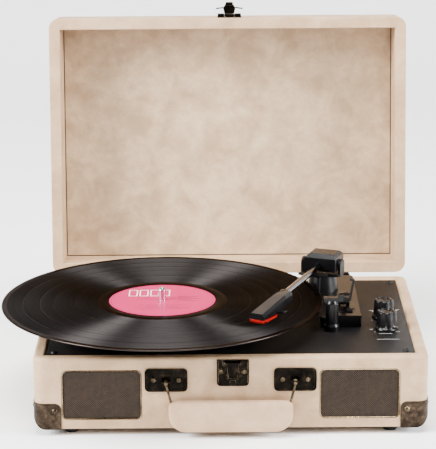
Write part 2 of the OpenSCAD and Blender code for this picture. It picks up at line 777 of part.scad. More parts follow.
module motor() {
    can_r = 17;
    low = deck_under - 24;
    color("#9a9a9e") seat() translate([motor_x, motor_y, 0]) difference() {
        union() {
            translate([0, 0, low]) cylinder(r = can_r, h = 24);
            translate([0, 0, low - 2]) cylinder(r = 5, h = 2);
            rod_z(0, 0, 5, deck_under - over, deck_top + 2);
        }
        translate([0, 0, deck_under - 14]) cylinder(r = 1 + fit, h = 40);
        for (turn = [45, 225]) rotate([0, 0, turn]) translate([12, 0, deck_under - 7]) cylinder(r = 1.5 + slack, h = 8);
    }
}

module motor_pulley() {
    low = deck_top + 3;
    high = belt_z + belt_h + 1.5;
    color("#b8964a") seat() translate([motor_x, motor_y, 0]) rotate_extrude() polygon([
        [0, deck_under - 12], [1, deck_under - 12], [1, low], [pulley_r + 1.2, low], [pulley_r + 1.2, low + 1.5],
        [pulley_r, low + 2], [pulley_r, high - 1], [pulley_r + 1.2, high - 0.6], [pulley_r + 1.2, high], [0, high]]);
}

// ---------------------------------------------------------------- tonearm base

module base_outline(g) {
    translate([(base_left + base_right) / 2, (base_front + base_back) / 2])
        rounded(base_right - base_left + 2 * g, base_back - base_front + 2 * g, 4 + g, 4 + g);
}

module cue_post(r, z0, z1) { rotate([0, 0, -100]) rod_z(cue_r, 0, r, z0, z1); }

module arm_base() {
    ear = 3;
    color("#1b1b1d") seat() at_pivot() difference() {
        union() {
            translate([0, 0, deck_top]) linear_extrude(base_up) base_outline(0);
            translate([0, 0, base_top]) cylinder(r1 = 15.5, r2 = 12.5, h = turret_top - base_top);
            block(9.5, base_right, base_front, base_front + 7, base_top, base_top + 2);
            for (side = [-1, 1]) along_x(lever_dx + side * (ear + 1.3) - 1.5, lever_dx + side * (ear + 1.3) + 1.5)
                translate([lever_dy, base_top + 3]) rounded(11, 12, 5, 0);
        }
        translate([0, 0, deck_top - over]) cylinder(r = 4 + fit, h = 40);
        cue_post(cue_post_r + fit, deck_top - over, base_top + over);
        rod_x(lever_dy, base_top + 5, 1.5 + fit, lever_dx - 10, lever_dx + 10);
        for (y = slider_dy) {
            block(slider_dx - 3, slider_dx + 3, y - 8, y + 8, deck_top - over, base_top + over);
            block(slider_dx - 5, slider_dx + 5, y - 10, y + 10, base_top - 0.8, base_top + over);
        }
    }
}

// The rest stands on the deck in front of the tonearm base.
module arm_rest() {
    saddle_z = arm_z - tube_r - 0.4;
    color("#141416") seat() at_pivot() translate([rest_dx, rest_dy, 0]) union() {
        translate([0, 0, deck_top]) cylinder(r = 7.2, h = 5);
        translate([0, 0, deck_top + 5]) cylinder(r1 = 7.2, r2 = 6, h = 2);
        translate([0, 0, deck_top]) cylinder(r = 6, h = saddle_z - 6 - deck_top);
        translate([0, 0, saddle_z - 6]) cylinder(r1 = 6, r2 = 4.6, h = 3);
        block(-8, 6.6, -3.6, 3.6, saddle_z - 3.6, saddle_z);
        block(-8, -6.6, -3.6, 3.6, saddle_z - 3.6, saddle_z + 0.2);
        block(5.2, 6.6, -3.6, 3.6, saddle_z - 3.6, saddle_z + 3.4);
        for (end = [-1, 1]) along_y(end * 3.1 - 0.5, end * 3.1 + 0.5)
            polygon([[6, saddle_z - 3.6], [9.4, saddle_z - 3.6], [11, saddle_z - 2], [11, saddle_z + 3],
                     [6, saddle_z + 3]]);
        rod_y(clip_dx - rest_dx, saddle_z, 1, -3.6, 3.6);
    }
}

// The clip, drawn closed over the parked arm and then swung open on its pin.
module arm_clip() {
    pin_z = arm_z - tube_r - 0.4;
    over_z = tube_r * 2 + 1.2;
    color("#141416") seat() at_pivot() translate([clip_dx, rest_dy, pin_z]) rotate([0, 100, 0]) difference() {
        union() {
            rod_y(0, 0, 1.9, -2.3, 2.3);
            block(-1, 1.4, -2.3, 2.3, 0.8, over_z + 1.6);
            block(-19, 1.4, -2.3, 2.3, over_z, over_z + 1.6);
            block(-19, -17.6, -2.3, 2.3, over_z - 3, over_z + 1.6);
        }
        rod_y(0, 0, 1 + fit, -4, 4);
    }
}

module cue_lever() {
    z = base_top + 5;
    color("#161618") seat() at_pivot() translate([lever_dx, lever_dy, z]) {
        rod_x(0, 0, 1.5, -6.4, 6.4);
        rod_x(0, 0, 4.2, -2.4, 2.4);
        rotate([-16, 0, 0]) {
            block(-1.8, 1.8, -33, 0, -1.4, 1.4);
            block(-3, 3, -42, -31, -1.4, 1.8);
        }
    }
}

module cue_platform() {
    top = arm_z - tube_r - 0.4;
    color("#1b1b1d") seat() at_pivot() {
        rotate([0, 0, -140]) rotate_extrude(angle = 56) translate([cue_r - 2.2, top - 2.4]) square([4.4, 2.4]);
        cue_post(cue_post_r, deck_under + 2, top - 1);
    }
}

// A switch's button, standing along its slot from the slot's middle.
module slider(dy, along) {
    color("#0f0f11") seat() at_pivot() translate([slider_dx, dy + along, 0]) {
        block(-2.7, 2.7, -3.5, 3.5, deck_top - 3, base_top + 1.6);
        for (k = [-1, 0, 1]) block(-2.7, 2.7, k * 2 - 0.5, k * 2 + 0.5, base_top + 1.6, base_top + 2.3);
    }
}

// ---------------------------------------------------------------- tonearm

module arm_yoke() {
    plate_low = turret_top + 0.4;
    wide = cheek_in + cheek_t;
    color("#151517") seat() on_arm() difference() {
        union() {
            rod_z(0, 0, 4, deck_under - 4, plate_low + over);
            translate([0, 0, plate_low]) linear_extrude(2.6) rounded(2 * wide, 18, 5, 5);
            for (side = [-1, 1]) along_x(side * (cheek_in + cheek_t / 2) - cheek_t / 2, side * (cheek_in + cheek_t / 2) + cheek_t / 2)
                translate([0, (plate_low + arm_z + 5) / 2]) rounded(13, arm_z + 5 - plate_low, 5, 1);
        }
        rod_x(0, arm_z, 1.5 + fit, -wide - over, wide + over);
    }
}

module arm_housing() {
    w = housing_w / 2;
    d = housing_d / 2;
    top = housing_low + housing_h;
    color("#1f1f21") seat() on_arm() difference() {
        union() {
            intersection() {
                along_y(-d, d) polygon([[-w, housing_low], [w, housing_low], [w, top - 3.5], [w - 3, top],
                                        [-w + 7, top], [-w, top - 7]]);
                along_x(-w, w) polygon([[-d, housing_low], [d, housing_low + 2], [d, top - 4], [d - 5, top],
                                        [-d + 4, top], [-d, top - 4]]);
            }
            rod_x(0, arm_z, 1.5, -w - 3, w + 3);
        }
        rod_y(0, arm_z, tube_r + fit, -d - over, -d + 10);
    }
}

module arm_tube() {
    color("#d0d0d2") seat() on_arm() difference() {
        rod_y(0, arm_z, tube_r, -arm_len + 1, -housing_d / 2 + 9);
        rod_y(0, arm_z, tube_r - 0.7, -arm_len + 1 - over, -housing_d / 2 + 9 + over);
    }
}

// Headshell pieces draw forwards from the shell's back end.
module on_shell() { on_arm() translate([3.4, -arm_len, 0]) rotate([0, 0, -shell_turn]) children(); }

// One cross-section of the headshell, y ahead of its back end.
module shell_slice(y, half, low, high, crown) {
    along_y(y - 0.1, y + 0.1) polygon([[-half, low], [half, low], [half, high - 2.5], [crown, high],
                                       [-crown, high], [-half, high - 2.5]]);
}

module headshell() {
    low = record_top + 5.6;
    color("#18181a") seat() difference() {
        union() {
            on_arm() rod_y(0, arm_z, tube_r + 2, -arm_len - 1, -arm_len + 4);
            on_shell() {
                hull() {
                    shell_slice(1, 6, arm_z - 4.5, arm_z + 4.5, 4);
                    shell_slice(-13, 7, low + 2.5, arm_z + 4.6, 5);
                }
                hull() {
                    shell_slice(-13, 7, low + 2.5, arm_z + 4.6, 5);
                    shell_slice(-27, 7.6, low, arm_z + 2.8, 5.4);
                }
                hull() {
                    shell_slice(-27, 7.6, low, arm_z + 2.8, 5.4);
                    shell_slice(-shell_len, 7.4, low + 0.8, low + 6.4, 5.6);
                }
                translate([10.4, -28, low + 1.4]) rotate([0, -12, 0]) cube([7, 6, 1.2], center = true);
            }
        }
        on_arm() rod_y(0, arm_z, tube_r + fit, -arm_len + 1 - fit, -arm_len + 20);
        on_shell() block(-6.2, 6.2, 6.8 - shell_len, -18, low - over, low + 4.6);
    }
}

module cartridge() {
    color("#101012") seat() on_shell()
        block(-5.7, 5.7, 7.3 - shell_len, -20, record_top + 4, record_top + 10.1);
}

// The stylus in its coloured holder: a nose in front, a cheek along each side and a narrow body
// with the needle below.
module stylus() {
    low = record_top + 1.6;
    high = record_top + 3.9;
    wrap = record_top + 5.3;
    color("#d8281f") seat() on_shell() union() {
        hull() {
            block(-7, 7, 0.6 - shell_len, 7 - shell_len, high, wrap + 0.7);
            block(-5.6, 5.6, 2 - shell_len, 7 - shell_len, low + 0.6, high);
        }
        block(-7.2, 7.2, 6 - shell_len, -32, high - 1, high);
        for (side = [-1, 1]) block(side * 6.6 - 0.7, side * 6.6 + 0.7, 6 - shell_len, -32, high - 1, wrap);
        block(-3.2, 3.2, 6 - shell_len, -26, low, high - 0.9);
        translate([0, 10 - shell_len, record_top + 0.35]) cylinder(r1 = 0.12, r2 = 0.5, h = 1.6, $fn = 16);
    }
}

// ---------------------------------------------------------------- controls and inside

// A fluted knob with a low skirt.
module knob(y) {
    low = deck_top + 0.8;
    top = deck_top + knob_h;
    translate([knob_x, y, 0]) difference() {
        union() {
            translate([0, 0, low]) cylinder(r1 = knob_r + 1.9, r2 = knob_r + 1.2, h = 3);
            translate([0, 0, low]) cylinder(r1 = knob_r + 0.6, r2 = knob_r - 0.2, h = top - low);
        }
        for (k = [0:5]) rotate([0, 0, k * 60 + 15]) translate([knob_r + 3.1, 0, low + 3.4]) cylinder(r = 4.6, h = knob_h);
        translate([0, 0, low - over]) cylinder(r = 3 + fit, h = 11.5);
        translate([-0.5, knob_r - 4, top - 0.5]) cube([1, 6, over]);
    }
}

module knobs(which) { color("#121214") seat() for (k = which) knob(knob_y[k]); }

module potentiometers() {
    color("#7c7c80") seat() for (y = knob_y) translate([knob_x, y, 0]) {
        block(-8, 8, -9, 8, deck_under - 9, deck_under);
        rod_z(0, 0, 3.6, deck_under - 1, deck_top + 0.3);
        rod_z(0, 0, 3, deck_top, deck_top + 11);
    }
}

module amplifier_board() {
    z = floor_z + 6;
    color("#2f6b3c") seat() translate([100, 40, 0]) {
        difference() {
            block(-40, 40, -28, 28, z, z + 1.6);
            four_corners(36, 24) translate([0, 0, z - over]) cylinder(r = 1.6, h = 4);
        }
        four_corners(36, 24) translate([0, 0, floor_z]) cylinder(r = 3, h = 6);
        for (x = [-26, -14]) rod_z(x, 12, 5, z + 1.6, z + 14);
        rod_z(2, 14, 4, z + 1.6, z + 11);
        block(14, 34, 4, 8, z + 1.6, z + 18);
        block(-6, 6, -12, 0, z + 1.6, z + 3.2);
        block(-34, -22, -22, -10, z + 1.6, z + 4);
    }
}

module jack_screw_sites() {
    for (dx = [-1, 1]) translate([jack_x + dx * (jack_w / 2 + 3), back_y + 1, jack_z]) rotate([-90, 0, 0]) children();
}

module jack_plate() {
    color("#2a2a2c") seat() difference() {
        along_y(back_y, back_y + 1) translate([jack_x, jack_z]) rounded(jack_w + 14, jack_h, 4, 4);
        for (k = [0:3]) rod_y(jack_x + jack_dx[k], jack_z, (k < 2 ? 4.15 : 3) + fit, back_y - over, back_y + 2);
        jack_screw_sites() translate([0, 0, -2]) cylinder(r = 1.2 + slack, h = 4);
    }
}

// Two phono sockets, a 3.5 mm socket and a power inlet, standing in the plate.
module rear_jacks() {
    color("#8f8f92") seat() for (k = [0:3]) translate([jack_x + jack_dx[k], 0, 0]) difference() {
        union() {
            if (k < 2) rod_y(0, jack_z, 4.15, back_y - 8, back_y + 9);
            if (k >= 2) rod_y(0, jack_z, 3, back_y - 10, back_y + 2.2);
            block(-6, 6, back_y - 13, back_y - near, jack_z - 6, jack_z + 6);
        }
        if (k < 2) rod_y(0, jack_z, 1.7, back_y - 5, back_y + 10);
        if (k == 2) rod_y(0, jack_z, 1.8, back_y - 10, back_y + 4);
        if (k == 3) rod_y(0, jack_z, 2.75, back_y - 7, back_y + 4);
    }
}

// ---------------------------------------------------------------- nodes

case_walls();
bottom_board();
deck_board();
deck_blocks();
deck_screws();
corner_guard(-1, -1);  // corner_guard_front_left
corner_guard(1, -1);  // corner_guard_front_right
union() { corner_guard(-1, 1); corner_guard(1, 1); }  // corner_guards_back
guard_nails();
rubber_feet();
chassis_screws();
grille(-1);  // grille_left
grille(1);  // grille_right
speaker(-1);  // speaker_left
speaker(1);  // speaker_right
speaker_cones();
handle_plate(-1);  // handle_plate_left
handle_plate(1);  // handle_plate_right
catch_plate();
front_screws();
hinge_base_leaves();
hinge_pins();
hinge_screws();
spindle();
drive_belt();
motor();
arm_base();
arm_rest();
potentiometers();
amplifier_board();
jack_plate();
rear_jacks();
adapter_45();
lid_walls();
lid_board();
hinge_lid_leaves();
lid_screws();
hasp_plate();
lid_hasp();
handle_grip();
handle_links();
catch_tongue();
platter();
platter_mat();
record();
record_label();
motor_pulley();
arm_yoke();
arm_tube();
headshell();
cartridge();
stylus();
arm_housing();
cue_lever();
cue_platform();
arm_clip();
slider(slider_dy[0], 0);  // speed_slider
slider(slider_dy[1], slider_throw / 2);  // autostop_slider
knobs([0]);  // volume_knob
knobs([1]);  // function_knob
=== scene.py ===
"""The looks of the portable suitcase record player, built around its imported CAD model.

Metres, in the CAD frame: +Z up, -Y to the front, +X towards the knobs.
"""

import json
import math

import bmesh
import bpy
from mathutils import Matrix, Vector

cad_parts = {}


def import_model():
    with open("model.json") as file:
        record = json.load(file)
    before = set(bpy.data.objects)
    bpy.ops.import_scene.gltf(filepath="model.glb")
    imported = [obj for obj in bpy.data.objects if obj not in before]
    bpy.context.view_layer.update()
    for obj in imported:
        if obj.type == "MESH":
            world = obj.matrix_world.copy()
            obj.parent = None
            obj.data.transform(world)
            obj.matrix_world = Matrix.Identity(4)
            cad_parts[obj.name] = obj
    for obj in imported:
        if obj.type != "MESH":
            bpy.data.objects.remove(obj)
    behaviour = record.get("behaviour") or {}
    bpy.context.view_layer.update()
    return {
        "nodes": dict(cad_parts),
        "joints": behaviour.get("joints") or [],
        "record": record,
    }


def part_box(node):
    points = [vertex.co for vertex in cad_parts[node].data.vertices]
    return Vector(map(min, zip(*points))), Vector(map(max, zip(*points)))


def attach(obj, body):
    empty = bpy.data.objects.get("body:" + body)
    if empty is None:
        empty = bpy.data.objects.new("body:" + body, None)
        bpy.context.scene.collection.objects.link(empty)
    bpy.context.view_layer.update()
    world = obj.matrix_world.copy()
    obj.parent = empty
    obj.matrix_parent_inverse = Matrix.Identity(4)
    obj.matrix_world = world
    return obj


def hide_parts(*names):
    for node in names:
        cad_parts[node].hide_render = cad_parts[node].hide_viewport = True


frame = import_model()
MM = 0.001
SPINDLE_HOLE = 3.64 * MM
LID_GAP = 0.5 * MM
LID_DEPTH = 53 * MM
PLAN_CORNER = 10.1 * MM
RIM_ROUND = 3.2 * MM
EDGE_ROUND = 0.5 * MM
FACE_SLACK = 1e-5


# ------------------------------------------------------------------ places in the frame

def middle(node):
    """The centre of a CAD node's box."""
    low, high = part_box(node)
    return (low + high) / 2


def joint(name):
    """The place of a joint, in metres."""
    return Vector(next(j for j in frame["joints"] if j["name"] == name)["pos_m"])


CASE_LOW, CASE_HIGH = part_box("case_walls")
CASE_X = middle("case_walls").x
CASE_Y = middle("case_walls").y
HALF_W = (CASE_HIGH.x - CASE_LOW.x) / 2
HALF_D = (CASE_HIGH.y - CASE_LOW.y) / 2
TOP_Z = CASE_HIGH.z
DECK_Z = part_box("deck_board")[1].z
HINGE = joint("lid_hinge")
SPINDLE = joint("platter_spin")
LID_OPEN = math.radians(97)
OPENED = Matrix.Translation(HINGE) @ Matrix.Rotation(-LID_OPEN, 4, "X") @ Matrix.Translation(-HINGE)


# ------------------------------------------------------------------ materials

def srgb(red, green, blue):
    """A colour from 0-255 display values to the linear values that sockets take."""
    linear = [((c / 255 + 0.055) / 1.055) ** 2.4 if c > 10 else c / 255 / 12.92 for c in (red, green, blue)]
    return (*linear, 1.0)


class Shade:
    """A material being built: one Principled shader and the nodes that feed it."""

    def __init__(self, name, **values):
        self.material = bpy.data.materials.new(name)
        self.material.use_nodes = True
        self.tree = self.material.node_tree
        self.shader = self.tree.nodes["Principled BSDF"]
        self.place = self.tree.nodes.new("ShaderNodeTexCoord").outputs["Object"]
        self.height = None
        for name, value in values.items():
            self.shader.inputs[name.replace("_", " ")].default_value = value

    def add(self, kind, links=(), **values):
        """A new node, with settings by name and inputs linked by socket name or number."""
        made = self.tree.nodes.new(kind)
        for name, value in values.items():
            if hasattr(made, name):
                setattr(made, name, value)
            else:
                made.inputs[name].default_value = value
        for socket, source in dict(links).items():
            self.tree.links.new(source, made.inputs[socket])
        return made

    def noise(self, size, detail=4.0, roughness=0.55, stretch=(1, 1, 1), distortion=0.0):
        """Cloudy noise whose features are about as large as size."""
        spread = self.add("ShaderNodeVectorMath", {0: self.place}, operation="MULTIPLY")
        spread.inputs[1].default_value = stretch
        made = self.add("ShaderNodeTexNoise", {"Vector": spread.outputs[0]}, Scale=1 / size, Detail=detail,
                        Roughness=roughness, Distortion=distortion)
        return made.outputs["Fac"]

    def cells(self, size, feature="F1", stretch=(1, 1, 1), randomness=1.0):
        """Distance to the nearest point of a scattered grid of that spacing."""
        spread = self.add("ShaderNodeVectorMath", {0: self.place}, operation="MULTIPLY")
        spread.inputs[1].default_value = stretch
        made = self.add("ShaderNodeTexVoronoi", {"Vector": spread.outputs[0]}, feature=feature,
                        Scale=1 / size,
                        Randomness=randomness)
        return made.outputs["Distance"]

    def radius(self):
        """Distance from the piece's own Z axis."""
        flat = self.add("ShaderNodeVectorMath", {0: self.place}, operation="MULTIPLY")
        flat.inputs[1].default_value = (1, 1, 0)
        return self.add("ShaderNodeVectorMath", {0: flat.outputs[0]}, operation="LENGTH").outputs["Value"]

    def sums(self, operation, a, b=None):
        """One Math node. a and b are outputs or numbers."""
        made = self.add("ShaderNodeMath", operation=operation)
        for k, value in enumerate((a, b)):
            if isinstance(value, (int, float)):
                made.inputs[k].default_value = value
            elif value is not None:
                self.tree.links.new(value, made.inputs[k])
        return made.outputs[0]

    def ramp(self, source, *stops):
        """A colour ramp. Each stop is (position, colour)."""
        made = self.add("ShaderNodeValToRGB", {"Fac": source})
        while len(made.color_ramp.elements) < len(stops):
            made.color_ramp.elements.new(0.5)
        for element, (position, colour) in zip(made.color_ramp.elements, stops):
            element.position = position
            element.color = colour if hasattr(colour, "__len__") else (colour, colour, colour, 1)
        return made.outputs["Color"]

    def blend(self, amount, a, b, mode="MIX"):
        """Two colours mixed by an output or a number."""
        made = self.add("ShaderNodeMix", data_type="RGBA", blend_type=mode)
        for k, value in ((0, amount), (6, a), (7, b)):
            if hasattr(value, "is_output"):
                self.tree.links.new(value, made.inputs[k])
            else:
                made.inputs[k].default_value = value
        return made.outputs[2]

    def feed(self, socket, source):
        self.tree.links.new(source, self.shader.inputs[socket])
        return self

    def rough(self, source, low, high):
        """Roughness that follows an output, between two values."""
        made = self.add("ShaderNodeMapRange", {"Value": source})
        made.inputs["To Min"].default_value = low
        made.inputs["To Max"].default_value = high
        return self.feed("Roughness", made.outputs["Result"])

    def bump(self, source, depth, strength=1.0):
        """Adds relief that is depth metres high."""
        made = self.add("ShaderNodeBump", {"Height": source}, Strength=strength, Distance=depth)
        if self.height is not None:
            self.tree.links.new(self.height, made.inputs["Normal"])
        self.height = made.outputs["Normal"]
        return self.feed("Normal", self.height)


def leatherette(name, pale, deep, warm):
    """Suede-look wrap: soft clouds of two tones, a warmer third, and a fine pebble."""
    s = Shade(name, Specular_IOR_Level=0.28)
    clouds = s.noise(0.034, detail=6, roughness=0.66, distortion=0.3)
    streaks = s.noise(0.010, detail=6, roughness=0.74, stretch=(0.7, 1, 1.4), distortion=0.5)
    fibre = s.noise(0.0011, detail=3)
    tone = s.ramp(clouds, (0.38, deep), (0.60, pale))
    tone = s.blend(s.ramp(streaks, (0.44, 0.0), (0.70, 0.6)), tone, warm)
    tone = s.blend(s.ramp(fibre, (0.3, 0.0), (0.8, 0.16)), tone, srgb(120, 98, 78))
    s.feed("Base Color", tone)
    s.rough(streaks, 0.52, 0.74)
    s.bump(s.cells(0.0013), 0.00010, 0.55)
    s.bump(s.noise(0.006, detail=5), 0.00022, 0.35)
    return s.material


def bronze(name, dark, mid, bright, rough=(0.30, 0.52)):
    """Antique finish: blotched patina over metal."""
    s = Shade(name, Metallic=1.0)
    patina = s.noise(0.0065, detail=6, roughness=0.72)
    specks = s.noise(0.0012, detail=2)
    tone = s.ramp(patina, (0.36, dark), (0.55, mid), (0.74, bright))
    tone = s.blend(s.ramp(specks, (0.52, 0.0), (0.75, 0.5)), tone, dark)
    s.feed("Base Color", tone)
    s.rough(patina, rough[1], rough[0])
    s.bump(specks, 0.00006, 0.5)
    s.bump(patina, 0.00012, 0.3)
    return s.material


def moulded(name, colour, rough, grain=0.0006, depth=0.00002, specular=0.5, coat=0.0):
    """Moulded plastic or rubber: a fine spark-eroded grain, handling marks and a little dust."""
    s = Shade(name, Specular_IOR_Level=specular, Coat_Weight=coat, Coat_Roughness=0.12)
    marks = s.noise(0.014, detail=5, roughness=0.65, distortion=0.4)
    dust = s.noise(0.0016, detail=2)
    lighter = tuple(min(1.0, c * 1.7 + 0.006) for c in colour[:3]) + (1.0,)
    s.feed("Base Color", s.blend(s.ramp(dust, (0.56, 0.0), (0.9, 0.55)), colour, lighter))
    s.rough(marks, rough - 0.07, rough + 0.09)
    s.bump(s.noise(grain, detail=2), depth, 0.5)
    return s.material


def plated(name, colour, rough, brushed=(1, 1, 1), depth=0.000008):
    """Bright metal with faint polishing lines along one direction."""
    s = Shade(name, Metallic=1.0)
    lines = s.noise(0.0007, detail=4, stretch=brushed)
    smudge = s.noise(0.012, detail=4)
    shade = tuple(c * 0.86 for c in colour[:3]) + (1.0,)
    s.feed("Base Color", s.blend(smudge, colour, shade))
    s.rough(smudge, rough * 0.7, rough * 1.5)
    s.bump(lines, depth, 0.4)
    return s.material


def vinyl():
    """Pressed record: ring after ring of slightly different gloss, with light spread across the grooves.

    A dark metallic shader stands in for the plastic, which reflects too much at a low angle.
    """
    s = Shade("vinyl", Metallic=1.0, Specular_Tint=(0.4, 0.4, 0.4, 1), Anisotropic=0.96,
              Anisotropic_Rotation=0.25)
    r = s.radius()
    rings = s.add("ShaderNodeTexNoise", {"W": s.sums("MULTIPLY", r, 420.0)}, noise_dimensions="1D",
                  Detail=5.0,
                  Roughness=0.75).outputs["Fac"]
    wide = s.add("ShaderNodeTexNoise", {"W": s.sums("MULTIPLY", r, 75.0)}, noise_dimensions="1D",
                 Detail=2.0).outputs["Fac"]
    grooves = s.sums("SINE", s.sums("MULTIPLY", r, 2 * math.pi / 0.00042))
    s.feed("Base Color", s.ramp(wide, (0.3, srgb(42, 40, 40)), (0.7, srgb(54, 51, 50))))
    s.rough(rings, 0.44, 0.62)
    s.bump(grooves, 0.000012, 0.35)
    s.bump(rings, 0.000045, 0.5)
    tangent = s.add("ShaderNodeTangent", direction_type="RADIAL", axis="Z")
    s.feed("Tangent", tangent.outputs[0])
    return s.material


def smooth_vinyl():
    """The record's flat land near the label and its rim bead."""
    s = Shade("vinyl_land", Metallic=1.0, Specular_Tint=(0.4, 0.4, 0.4, 1))
    rings = s.add("ShaderNodeTexNoise", {"W": s.sums("MULTIPLY", s.radius(), 260.0)}, noise_dimensions="1D",
                  Detail=3.0).outputs["Fac"]
    s.feed("Base Color", s.ramp(rings, (0.3, srgb(46, 41, 39)), (0.7, srgb(58, 51, 48))))
    s.rough(rings, 0.16, 0.30)
    s.bump(rings, 0.00002, 0.3)
    return s.material


def paper(name, colour, deep):
    """Printed label paper."""
    s = Shade(name, Specular_IOR_Level=0.3, Roughness=0.55)
    tone = s.noise(0.010, detail=4)
    fibres = s.noise(0.0006, detail=3, stretch=(1, 2.5, 1))
    s.feed("Base Color", s.blend(s.ramp(tone, (0.35, 0.0), (0.8, 0.5)), colour, deep))
    s.rough(fibres, 0.46, 0.62)
    s.bump(fibres, 0.00002, 0.4)
    return s.material


def deck_paint():
    """Satin black paint with a fine orange peel."""
    s = Shade("deck_black", Specular_IOR_Level=0.12)
    peel = s.noise(0.0009, detail=2)
    marks = s.noise(0.03, detail=5)
    s.feed("Base Color", s.ramp(marks, (0.3, srgb(11, 10, 10)), (0.7, srgb(17, 15, 15))))
    s.rough(marks, 0.42, 0.56)
    s.bump(peel, 0.00003, 0.6)
    return s.material


def mesh_brown():
    """Grille metal: lacquered bronze strands, brighter on their crowns."""
    s = Shade("grille_mesh", Metallic=0.55)
    tone = s.noise(0.004, detail=4)
    s.feed("Base Color", s.ramp(tone, (0.3, srgb(36, 27, 19)), (0.7, srgb(60, 46, 33))))
    s.rough(tone, 0.38, 0.52)
    s.bump(s.noise(0.0005), 0.00003, 0.5)
    return s.material


def red_holder():
    """Coloured translucent stylus holder."""
    s = Shade("stylus_red", Specular_IOR_Level=0.55, Subsurface_Weight=0.25, Subsurface_Scale=0.003,
              Coat_Weight=0.4, Coat_Roughness=0.08)
    flow = s.noise(0.006, detail=3)
    s.feed("Base Color", s.ramp(flow, (0.3, srgb(128, 8, 6)), (0.7, srgb(164, 16, 12))))
    s.rough(flow, 0.18, 0.30)
    s.bump(flow, 0.00004, 0.3)
    return s.material


def fibreboard():
    """Raw board, seen only inside."""
    s = Shade("fibreboard", Specular_IOR_Level=0.2)
    chips = s.cells(0.0022, stretch=(1, 1, 2))
    s.feed("Base Color", s.ramp(chips, (0.1, srgb(176, 140, 98)), (0.7, srgb(128, 96, 62))))
    s.rough(chips, 0.75, 0.9)
    s.bump(chips, 0.0002, 0.5)
    return s.material


def circuit():
    """Green solder mask with faint tracks."""
    s = Shade("circuit_green", Specular_IOR_Level=0.5)
    tracks = s.cells(0.005, feature="DISTANCE_TO_EDGE", randomness=0.4)
    s.feed("Base Color", s.ramp(tracks, (0.03, srgb(24, 92, 48)), (0.09, srgb(14, 62, 32))))
    s.rough(tracks, 0.3, 0.45)
    s.bump(tracks, 0.00003, 0.4)
    return s.material


MATERIALS = {
    "leatherette": leatherette("leatherette", srgb(188, 158, 124), srgb(164, 134, 102), srgb(174, 140, 108)),
    "lid_lining": leatherette("lid_lining", srgb(198, 171, 138), srgb(162, 136, 106), srgb(180, 147, 114)),
    "grip_wrap": leatherette("grip_wrap", srgb(194, 161, 129), srgb(176, 144, 113), srgb(184, 149, 117)),
    "antique_bronze": bronze("antique_bronze", srgb(9, 8, 7), srgb(20, 17, 14), srgb(46, 38, 28)),
    "guard_bronze": bronze("guard_bronze", srgb(34, 28, 23), srgb(58, 48, 39), srgb(92, 77, 60),
                           (0.38, 0.60)),
    "rubbed_bronze": bronze("rubbed_bronze", srgb(88, 74, 54), srgb(146, 126, 96), srgb(206, 188, 152),
                            (0.2, 0.36)),
    "bright_bronze": bronze("bright_bronze", srgb(38, 32, 25), srgb(78, 66, 50), srgb(140, 122, 96),
                            (0.2, 0.38)),
    "black_plastic": moulded("black_plastic", srgb(5, 4, 5), 0.28, specular=0.26),
    "matte_black": moulded("matte_black", srgb(7, 6, 7), 0.42, specular=0.2),
    # Grey plastic on the platter; on the headshell's upward faces this lighter grey is a painted sheen,
    # where light falls on the black top.
    "grey_plastic": moulded("grey_plastic", srgb(26, 25, 27), 0.34, specular=0.3),
    "rubber": moulded("rubber", srgb(20, 20, 21), 0.72, grain=0.0004, depth=0.00004, specular=0.3),
    "chrome": plated("chrome", srgb(226, 226, 228), 0.10, (1, 1, 0.1)),
    "tube_chrome": plated("tube_chrome", srgb(118, 118, 122), 0.12, (1, 0.1, 1)),
    "steel": plated("steel", srgb(176, 176, 180), 0.30),
    "brass": plated("brass", srgb(212, 176, 104), 0.22),
    "vinyl": vinyl(),
    "vinyl_land": smooth_vinyl(),
    "label_pink": paper("label_pink", srgb(176, 4, 82), srgb(162, 4, 70)),
    "ink_dark": paper("ink_dark", srgb(96, 26, 44), srgb(80, 18, 36)),
    "ink_pale": paper("ink_pale", srgb(244, 226, 214), srgb(232, 208, 196)),
    "print_white": paper("print_white", srgb(158, 154, 150), srgb(138, 134, 130)),
    "deck_black": deck_paint(),
    "grille_mesh": mesh_brown(),
    "grille_cloth": moulded("grille_cloth", srgb(10, 8, 7), 0.85, grain=0.0009, depth=0.0001, specular=0.2),
    "stylus_red": red_holder(),
    # Dark brown for a painted shadow line in the crease round the lid's lining.
    "painted_crease_shade": moulded("painted_crease_shade", srgb(58, 42, 30), 0.7, grain=0.0008, depth=0.00006, specular=0.2),
    "fibreboard": fibreboard(),
    "circuit_green": circuit(),
    "speaker_paper": moulded("speaker_paper", srgb(58, 52, 46), 0.8, grain=0.0012, depth=0.0001,
                             specular=0.2),
}
M = MATERIALS


# ------------------------------------------------------------------ mesh tools

def finished(bm, name, body, materials, replaces=(), sharp=40, weighted=True):
    """Turns a bmesh into a piece that rides on a body, shaded smooth except across sharp edges."""
    bmesh.ops.recalc_face_normals(bm, faces=bm.faces)
    for face in bm.faces:
        face.smooth = True
    for edge in bm.edges:
        edge.smooth = len(edge.link_faces) == 2 and edge.calc_face_angle(0) < math.radians(sharp)
    mesh = bpy.data.meshes.new(name)
    bm.to_mesh(mesh)
    bm.free()
    normals = mesh.attributes.get("custom_normal")
    if normals:
        mesh.attributes.remove(normals)
    piece = bpy.data.objects.new(name, mesh)
    bpy.context.scene.collection.objects.link(piece)
    for material in materials if isinstance(materials, (list, tuple)) else [materials]:
        mesh.materials.append(material)
    if weighted:
        piece.modifiers.new("normals", "WEIGHTED_NORMAL").keep_sharp = True
    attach(piece, body)
    if replaces:
        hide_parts(*replaces)
    return piece


def body_of_node(node):
    return next(b for b, nodes in frame["record"]["behaviour"]["bodies"].items() if node in nodes)


def cad_copy(node):
    """A CAD node's mesh as a clean bmesh, with its flat faces whole."""
    bm = bmesh.new()
    bm.from_mesh(frame["nodes"][node].data)
    bmesh.ops.remove_doubles(bm, verts=bm.verts, dist=2e-6)
    bmesh.ops.dissolve_limit(bm, angle_limit=math.radians(0.6), verts=bm.verts, edges=bm.edges)
    return bm


